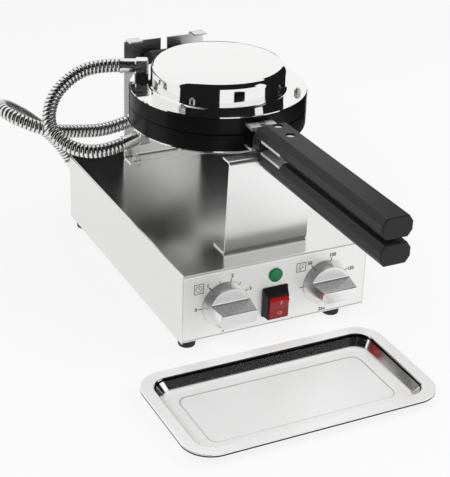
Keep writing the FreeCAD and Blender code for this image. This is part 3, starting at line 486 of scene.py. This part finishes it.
def apply_modifier(piece, kind, **settings):
    """Adds a modifier to a piece and makes its result the piece's own mesh."""
    modifier = piece.modifiers.new(kind.lower(), kind)
    for name, value in settings.items():
        setattr(modifier, name, value)
    bpy.context.view_layer.objects.active = piece
    bpy.ops.object.modifier_apply(modifier=modifier.name)


cover_sheet = 0.0012
cover_sides = 192
cover_middle = Vector((0.038, 0.0837, 0.0))
flange_radius = 0.097
flange_edge = 0.002
fold_radius = 0.0027
fold_steps = 8
shoulder_steps = 18
crown_radius = 0.62
crown_steps = 14
sharp_edge = 40
cover_steel = polished_steel("polished_cover", pale=0.9, roughness=0.03)


def cover_profile(wall, rise, shoulder):
    """The outside of a cover from its flange to the middle of its crown."""
    across = wall - shoulder
    up = math.sqrt((crown_radius - shoulder) ** 2 - across ** 2)
    turn = (across, rise - crown_radius + up)
    lean = math.degrees(math.atan2(up, across))
    flange = [(flange_radius, cover_sheet), (flange_radius - flange_edge, cover_sheet)]
    fold_middle = (wall + fold_radius, cover_sheet + fold_radius)
    fold = arc(fold_middle, fold_radius, -90, -180, fold_steps)
    crown = arc((0, rise - crown_radius), crown_radius, lean, 90, crown_steps)
    return flange + fold + arc(turn, shoulder, 0, lean, shoulder_steps) + crown[1:-1] + [(0, rise)]


def spun_cover(name, wall, rise, shoulder, level, way, body, node):
    """A cover of this radius and height on its flange, upwards or downwards from a level."""
    profile = [(radius, level + way * height) for radius, height in cover_profile(wall, rise, shoulder)]
    cover = turned(name, cover_middle, profile, cover_sides)
    face_outwards(cover)
    if (cover.data.polygons[-1].normal.z > 0) != (way > 0):
        cover.data.flip_normals()
    apply_modifier(cover, "SOLIDIFY", thickness=cover_sheet, offset=-1)
    shade_by_angle(cover, sharp_edge)
    return dress(cover, cover_steel, body, [node])


spun_cover(
    "dome_lid", wall=0.074, rise=0.0315, shoulder=0.009,
    level=0.2284, way=1, body="lid", node="cover_upper",
)
spun_cover(
    "dome_head", wall=0.0756, rise=0.018, shoulder=0.006,
    level=0.1914, way=-1, body="head", node="cover_lower",
)


# Tangs: a flat strip of brushed steel, screwed to each casting, runs forward into the
# handle and carries it.
tang_steel = brushed_steel("brushed_tang", along_y, dark=0.9, pale=0.98, roughness=0.4)
paint(tang_steel, "tang_upper", "tang_lower")


# Handles and collar: hard black plastic that stays cool, moulded with a fine matt grain.
# The nuts of the hoses and the inlet at the back of the box are made of it too.
phenolic = Finish("black_phenolic", Specular_IOR_Level=0.3)
phenolic_grain = phenolic.cloud(0.0005, 3)
phenolic_flow = phenolic.cloud(0.02, 2)
phenolic.feed(
    Base_Color=phenolic.mix(phenolic_flow, (0.009, 0.009, 0.009), (0.014, 0.014, 0.014)),
    Roughness=0.34 + 0.16 * phenolic_grain,
)
phenolic.relief(phenolic_grain, 0.00003)
paint(phenolic, "handle_upper", "handle_lower", "journal_upper", "journal_lower")
paint(phenolic, "link_nut_lid", "hose_nuts_head", "supply_nut_base", "mains_gland")


# Lamp: a flat lens of green plastic, in a holder of the same green, is set in the front
# panel and shows that the plates are heating.
lens = Finish("green_lens", Coat_Weight=0.15, Coat_Roughness=0.05, Specular_IOR_Level=0.3)
lens_cloud = lens.cloud(0.003, 2)
lens.feed(
    Base_Color=lens.mix(lens_cloud, (0.004, 0.15, 0.045), (0.007, 0.19, 0.06)),
    Roughness=0.2 + 0.1 * lens_cloud,
)
paint(lens, "indicator_lens", "indicator_body")


# Power switch: a red paddle rocks in a deep collar, which is moulded in one with its
# frame from glossy black plastic and set in the front panel.
gloss = Finish("black_gloss", Coat_Weight=0.1, Coat_Roughness=0.08, Specular_IOR_Level=0.25)
gloss_grain = gloss.cloud(0.0007, 2)
gloss.feed(
    Base_Color=gloss.mix(gloss_grain, (0.006, 0.006, 0.006), (0.012, 0.012, 0.012)),
    Roughness=0.22 + 0.12 * gloss_grain,
)
paint(gloss, "switch_frame")
paddle = Finish("red_paddle", Coat_Weight=0.2, Coat_Roughness=0.06, Specular_IOR_Level=0.3)
paddle_cloud = paddle.cloud(0.004, 2)
paddle.feed(
    Base_Color=paddle.mix(paddle_cloud, (0.28, 0.004, 0.007), (0.36, 0.008, 0.011)),
    Roughness=0.2 + 0.1 * paddle_cloud,
)
paint(paddle, "rocker")


# Marks on the paddle: a bar at its upper end and a ring at its lower end, printed in a
# thin white ink that lets some of the red through.
ink_film = 0.0001
before_machine = -0.3


def laid_on(node, x, z):
    """The spot where a level line from the front meets a part, and how that part faces there."""
    start = Vector((x, before_machine, z))
    _, spot, facing, _ = frame["nodes"][node].ray_cast(start, Vector((0, 1, 0)))
    return spot, (-facing).to_track_quat("Y", "Z").to_euler()


def bar(place, turn, wide, high):
    """A thin bar of ink, lying across its own Y axis."""
    size = (wide, 2 * ink_film, high)
    bpy.ops.mesh.primitive_cube_add(size=1, location=place, rotation=turn, scale=size)
    return bpy.context.object


def loop(place, turn, radius, line, squeeze=1):
    """A thin ring of ink, lying across its own Y axis."""
    bpy.ops.mesh.primitive_torus_add(
        major_radius=radius, minor_radius=line, major_segments=32, minor_segments=6,
    )
    ring = bpy.context.object
    ring.matrix_world = (
        Matrix.Translation(place) @ turn.to_matrix().to_4x4()
        @ Matrix.Diagonal((1, 1, squeeze, 1)) @ Matrix.Rotation(math.pi / 2, 4, "X")
    )
    return ring


def printed(name, marks, ink, body):
    """Joins single marks to one print, and lets it ride on a body."""
    bpy.ops.object.select_all(action="DESELECT")
    for mark in marks:
        mark.select_set(True)
    bpy.context.view_layer.objects.active = marks[0]
    bpy.ops.object.join()
    bpy.ops.object.transform_apply(location=True, rotation=True, scale=True)
    marks[0].name = name
    return dress(marks[0], ink, body)


white_ink = Finish("white_ink")
white_ink_grain = white_ink.cloud(0.0003, 2)
white_ink.feed(
    Base_Color=white_ink.mix(white_ink_grain, (0.62, 0.4, 0.4), (0.72, 0.52, 0.52)),
    Roughness=0.4 + 0.1 * white_ink_grain,
)
paddle_middle = 0.0377
on_spot, on_turn = laid_on("rocker", paddle_middle, 0.0427)
off_spot, off_turn = laid_on("rocker", paddle_middle, 0.0292)
on_mark = bar(on_spot, on_turn, wide=0.0012, high=0.0045)
off_mark = loop(off_spot, off_turn, radius=0.0024, line=0.0003, squeeze=0.75)
printed("print_paddle", [on_mark, off_mark], white_ink, "power_paddle")


# Marks round the dials: ticks and plain numbers, a small clock and a small thermometer,
# each in a frame, all printed on the front panel in dark grey.
dark_ink = Finish("dark_ink")
dark_ink_grain = dark_ink.cloud(0.0004, 2)
dark_ink.feed(
    Base_Color=dark_ink.mix(dark_ink_grain, (0.02, 0.02, 0.02), (0.05, 0.05, 0.05)),
    Roughness=0.5 + 0.1 * dark_ink_grain,
)
panel_face = -0.07
digit_size = 0.0056
digit_weight = 0.00018
seam_gap = 0.000001
icon_line = 0.0007
thin_line = 0.0006
millimetre = 0.001
flat = Euler((0, 0, 0))


def number(text, x, z):
    """A number as thin closed mesh, upright on the front panel."""
    bpy.ops.object.text_add(location=(x, panel_face, z), rotation=(math.pi / 2, 0, 0))
    label = bpy.context.object
    label.data.body = text
    label.data.size = digit_size
    label.data.extrude = ink_film
    label.data.offset = digit_weight
    label.data.align_x = "CENTER"
    label.data.align_y = "CENTER"
    bpy.ops.object.convert(target="MESH")
    label = bpy.context.object
    bpy.ops.object.mode_set(mode="EDIT")
    bpy.ops.mesh.select_all(action="SELECT")
    bpy.ops.mesh.remove_doubles(threshold=seam_gap)
    bpy.ops.object.mode_set(mode="OBJECT")
    face_outwards(label)
    shade_by_angle(label, sharp_edge)
    return label


def stroke(x, z, wide, high):
    """A bar of ink that lies straight on the front panel."""
    return bar((x, panel_face, z), flat, wide, high)


def dial_print(name, middle, numbers, ticks, icon):
    """The print of one dial: numbers and ticks by angle and millimetres from its middle."""
    def spot(angle, reach):
        way = math.radians(angle)
        away = millimetre * reach
        return middle[0] + away * math.cos(way), middle[1] + away * math.sin(way)

    marks = [number(text, *spot(angle, reach)) for text, angle, reach in numbers]
    for angle, reach, length, width in ticks:
        x, z = spot(angle, reach)
        turn = Euler((0, -math.radians(angle), 0))
        marks.append(bar((x, panel_face, z), turn, millimetre * length, millimetre * width))
    return printed(name, marks + icon, dark_ink, "base")


def icon_frame(x, z, width, height):
    """Four thin lines round a small picture."""
    sides = []
    for way in (-1, 1):
        sides.append(stroke(x + way * width / 2, z, icon_line, height + icon_line))
        sides.append(stroke(x, z + way * height / 2, width - icon_line, icon_line))
    return sides


timer_middle = (-0.0225, 0.0475)
clock_x, clock_z = -0.0533, 0.0717
clock = icon_frame(clock_x, clock_z, 0.0103, 0.0109) + [
    loop((clock_x, panel_face, clock_z), flat, radius=0.0034, line=0.0003),
    stroke(clock_x, clock_z + 0.0011, thin_line, 0.0026),
    stroke(clock_x + 0.0008, clock_z, 0.002, thin_line),
]
timer_numbers = (
    ("0", 180, 33.8), ("1", 128, 33.2), ("2", 77, 33),
    ("3", 23, 31.8), ("4", -35, 32), ("5", 267, 31.2),
)
timer_ticks = (
    (180, 29, 4, 0.9), (129, 28.4, 4, 1.3), (104, 28, 2.6, 0.8), (77, 28, 4.4, 0.9),
    (52, 27.6, 2.6, 0.8), (25, 27.2, 4.4, 0.9), (-35, 28, 4, 0.9),
)
dial_print("print_timer", timer_middle, timer_numbers, timer_ticks, clock)

thermostat_middle = (0.097, 0.0483)
glass_x, glass_z = 0.067, 0.0726
thermometer = icon_frame(glass_x, glass_z, 0.0108, 0.0102) + [
    loop((glass_x - 0.0018, panel_face, glass_z - 0.0024), flat, radius=0.0012, line=0.0003),
    stroke(glass_x - 0.0018, glass_z + 0.0013, 0.0008, 0.0052),
    stroke(glass_x + 0.0018, glass_z + 0.0026, 0.0026, thin_line),
    stroke(glass_x + 0.0014, glass_z + 0.0008, 0.0018, thin_line),
    stroke(glass_x + 0.0018, glass_z - 0.001, 0.0026, thin_line),
]
heat_numbers = (
    ("50", 126, 33.3), ("100", 76, 32.8), ("150", 18, 33.4),
    ("200", -38, 33.5), ("250", 268, 32.5),
)
heat_ticks = (
    (181, 28.6, 4, 0.9), (126, 27.8, 4, 0.9), (76, 27.9, 4, 0.9),
    (22, 27.4, 4, 0.9), (-38, 28, 4, 0.9),
)
dial_print("print_thermostat", thermostat_middle, heat_numbers, heat_ticks, thermometer)


# Dials: moulded knobs with a coat of silver lacquer, each with a bar to grip, are pushed
# onto the spindles of the timer and the thermostat.
lacquer = Finish("silver_lacquer", Metallic=0.9)
lacquer_fleck = lacquer.cloud(0.0003, 2)
lacquer.feed(
    Base_Color=lacquer.mix(lacquer_fleck, (0.86, 0.86, 0.86), (0.94, 0.94, 0.94)),
    Roughness=0.2 + 0.08 * lacquer_fleck,
)
paint(lacquer, "timer_knob", "thermostat_knob")


# Drip tray: one pressed sheet of polished steel with a flat rim turned down at its edge,
# a sloping wall all round and a middle panel sunk a little deeper.
tray_low, tray_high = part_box("drip_tray")
tray_sheet = 0.001
tray_fold = 0.0022
fold_angle = 20
steep = 0.3
tray_corner_sides = 24
# From the foot of the turned-down edge to the middle panel: how far each outline lies
# inside the tray's edge, its height, and the radius of its corners.
tray_rings = (
    (0.0, 0.012, 0.03),
    (0.0, 0.015, 0.03),
    (0.013, 0.0148, 0.018),
    (0.022, 0.0022, 0.014),
    (0.034, 0.002, 0.01),
    (0.0355, 0.001, 0.01),
)


def rounded_ring(inset, level, corner):
    """The outline of a rectangle with round corners, this far inside the tray's edge."""
    size = tray_high - tray_low
    middle = (tray_low + tray_high) / 2
    place = (middle.x, middle.y, level)
    bpy.ops.mesh.primitive_plane_add(size=1, location=place, enter_editmode=True)
    shape = (size.x - 2 * inset, size.y - 2 * inset, 1)
    bpy.ops.transform.resize(value=shape, center_override=place)
    bpy.ops.mesh.bevel(offset=corner, segments=tray_corner_sides, affect="VERTICES")
    bpy.ops.mesh.select_all(action="SELECT")
    bpy.ops.mesh.delete(type="ONLY_FACE")
    bpy.ops.object.mode_set(mode="OBJECT")
    bpy.ops.object.transform_apply(location=True, rotation=True, scale=True)
    return bpy.context.object


def select_last(piece, count):
    """Selects the vertices that came last into a piece, and opens it for editing."""
    bpy.ops.object.mode_set(mode="EDIT")
    bpy.ops.mesh.select_mode(type="VERT")
    bpy.ops.mesh.select_all(action="DESELECT")
    bpy.ops.object.mode_set(mode="OBJECT")
    for vertex in piece.data.vertices[-count:]:
        vertex.select = True
    bpy.ops.object.mode_set(mode="EDIT")


def bridged(name, rings):
    """A shell drawn through rings of equal counts, one after the other, and closed at the last."""
    shell = rings[0]
    shell.name = name
    count = len(shell.data.vertices)
    for ring in rings[1:]:
        bpy.ops.object.select_all(action="DESELECT")
        shell.select_set(True)
        ring.select_set(True)
        bpy.context.view_layer.objects.active = shell
        bpy.ops.object.join()
        select_last(shell, 2 * count)
        bpy.ops.mesh.bridge_edge_loops()
        bpy.ops.object.mode_set(mode="OBJECT")
    select_last(shell, count)
    bpy.ops.mesh.edge_face_add()
    bpy.ops.object.mode_set(mode="OBJECT")
    return shell


def select_faces(piece, chosen):
    """Selects the faces of a piece that pass a test, and opens it for editing."""
    bpy.ops.object.select_all(action="DESELECT")
    piece.select_set(True)
    bpy.context.view_layer.objects.active = piece
    bpy.ops.object.mode_set(mode="EDIT")
    bpy.ops.mesh.select_mode(type="FACE")
    bpy.ops.mesh.select_all(action="DESELECT")
    bpy.ops.object.mode_set(mode="OBJECT")
    for face in piece.data.polygons:
        face.select = chosen(face)
    bpy.ops.object.mode_set(mode="EDIT")


def shows_underside(face):
    """Whether a face of the tray shows its underside."""
    if abs(face.normal.z) >= steep:
        return face.normal.z < 0
    away = face.center - (tray_low + tray_high) / 2
    return face.normal.dot(Vector((away.x, away.y, 0))) < 0


tray = bridged("pressed_tray", [rounded_ring(*ring) for ring in tray_rings])
select_faces(tray, shows_underside)
bpy.ops.mesh.flip_normals()
bpy.ops.object.mode_set(mode="OBJECT")
apply_modifier(
    tray, "BEVEL", width=tray_fold, segments=5,
    limit_method="ANGLE", angle_limit=math.radians(fold_angle),
)
apply_modifier(tray, "SOLIDIFY", thickness=tray_sheet, offset=-1)
shade_by_angle(tray, sharp_edge)
tray.modifiers.new("flat_faces", "WEIGHTED_NORMAL").keep_sharp = True

# The finish changes with the height: the sloping wall is a mirror, and the rim and the pan are satin.
# Painted shade darkens a band that runs round under the rim, and at half strength a grey band along the
# step of the pan. Each pair gives the heights between which a change comes in.
tray_steel = Finish("polished_tray")
tray_lines = tray_steel.cloud(0.0004, 3, along_x)
tray_height = tray_steel.add("ShaderNodeSeparateXYZ", {}, {"Vector": tray_steel.spot()}, "Z")


def tray_band(foot, top):
    """A level band of the tray, from the heights of its foot to the heights of its top."""
    return tray_steel.step(tray_height, *foot) * tray_steel.step(tray_height, *top)


tray_wall = tray_band(foot=(0.0028, 0.005), top=(0.01475, 0.0146))
# Painted shade: a dark band below the rim, and a grey one at half strength along the step.
tray_rim_shade = tray_band(foot=(0.0118, 0.0122), top=(0.0139, 0.0135))
tray_step_shade = tray_band(foot=(0.0011, 0.0013), top=(0.0019, 0.0017))
# The pale share is the polishing lines, less the painted shade under the rim and along the step.
tray_lines_and_shade = (0.93 + 0.07 * tray_lines) * (1 - tray_rim_shade) * (1 - 0.5 * tray_step_shade)
tray_steel.feed(
    Base_Color=tray_steel.mix(tray_lines_and_shade, (0.02, 0.02, 0.02), (0.97, 0.97, 0.965)),
    Metallic=0.25 + 0.75 * tray_wall,
    Roughness=0.34 - 0.24 * tray_wall + 0.05 * tray_lines,
)
dress(tray, tray_steel, "loose_tray", ["drip_tray"])


# Studio: a pale floor, a white room and two large soft lamps. The floor and the room are
# white to the camera and to mirrors, and light the machine less than they show.
def in_view(finish):
    """One for what the camera sees, straight or mirrored, and nought for other light."""
    straight = finish.add("ShaderNodeLightPath", {}, {}, "Is Camera Ray")
    mirrored = finish.add("ShaderNodeLightPath", {}, {}, "Is Glossy Ray")
    return straight.maths("MAXIMUM", straight, mirrored)


def show_instead(finish, shader):
    """Puts another shader in the place of a finish's own."""
    finish.nodes.remove(finish.shader)
    finish.links.new(shader.socket, finish.nodes["Material Output"].inputs["Surface"])


floor_paint = Finish("studio_floor")
floor_matt = floor_paint.add("ShaderNodeBsdfDiffuse", {}, {"Color": (0.8, 0.8, 0.8, 1)})
floor_white = floor_paint.add("ShaderNodeEmission", {}, {})
floor_blend = {0: 0.8 * in_view(floor_paint), 1: floor_matt, 2: floor_white}
show_instead(floor_paint, floor_paint.add("ShaderNodeMixShader", {}, floor_blend))
bpy.ops.mesh.primitive_plane_add(size=30, location=(0, 0, 0))
floor = bpy.context.object
floor.name = "studio_floor"
floor.data.materials.append(floor_paint.material)

room = Finish("studio_room", bpy.data.worlds, "Background", Color=(1, 1, 1, 1))
room.feed(Strength=0.55 + 0.45 * in_view(room))
bpy.context.scene.world = room.material

lamp_target = Vector((0, 0, 0.15))


def soft_lamp(name, place, size, power):
    """A square soft lamp that faces the machine and is kept out of its mirrors."""
    lamp_data = bpy.data.lights.new(name, "AREA")
    lamp_data.size = size
    lamp_data.energy = power
    lamp = bpy.data.objects.new(name, lamp_data)
    bpy.context.scene.collection.objects.link(lamp)
    lamp.location = place
    lamp.rotation_euler = (lamp_target - Vector(place)).to_track_quat("-Z", "Y").to_euler()
    lamp.visible_glossy = False


soft_lamp("lamp_left", place=(-1.4, -1.2, 1.8), size=1.4, power=30)
soft_lamp("lamp_right", place=(1.6, -0.6, 1.6), size=1.4, power=18)

# Dark cards stand to the left, to the right, behind and far in front of the machine, and
# one hangs in front of it overhead. Only reflections show them, as the dark bands that give
# a mirror its shape. An upright card runs from one place to another, between two heights.
card_paint = Finish("dark_card")
show_instead(card_paint, card_paint.add("ShaderNodeEmission", {}, {"Color": (0.012, 0.012, 0.012, 1)}))
upright_cards = (
    ("left", (-0.525, 0.067), (-0.188, -0.444), 0.0, 0.75),
    ("right", (0.571, -0.3), (0.45, 0.35), 0.0, 0.75),
    ("behind", (-0.05, 0.36), (0.3, 0.36), 0.0, 0.28),
    ("far", (-2.5, -2.7), (2.5, -2.7), 1.5, 2.6),
)
card_places = [("ceiling", (0, -1.2, 2.6), (5, 3, 1), (0, 0, 0))]
for name, first, last, low, high in upright_cards:
    along = Vector(last) - Vector(first)
    middle = (Vector(first) + Vector(last)) / 2
    place = (middle.x, middle.y, (low + high) / 2)
    turn = (math.pi / 2, 0, math.atan2(along.y, along.x))
    card_places.append((name, place, (along.length, high - low, 1), turn))
for name, place, size, turn in card_places:
    bpy.ops.mesh.primitive_plane_add(size=1, location=place, rotation=turn)
    card = bpy.context.object
    card.name = "card_" + name
    card.scale = size
    card.data.materials.append(card_paint.material)
    card.visible_camera = False
    card.visible_diffuse = False
    card.visible_shadow = False
    card.visible_transmission = False
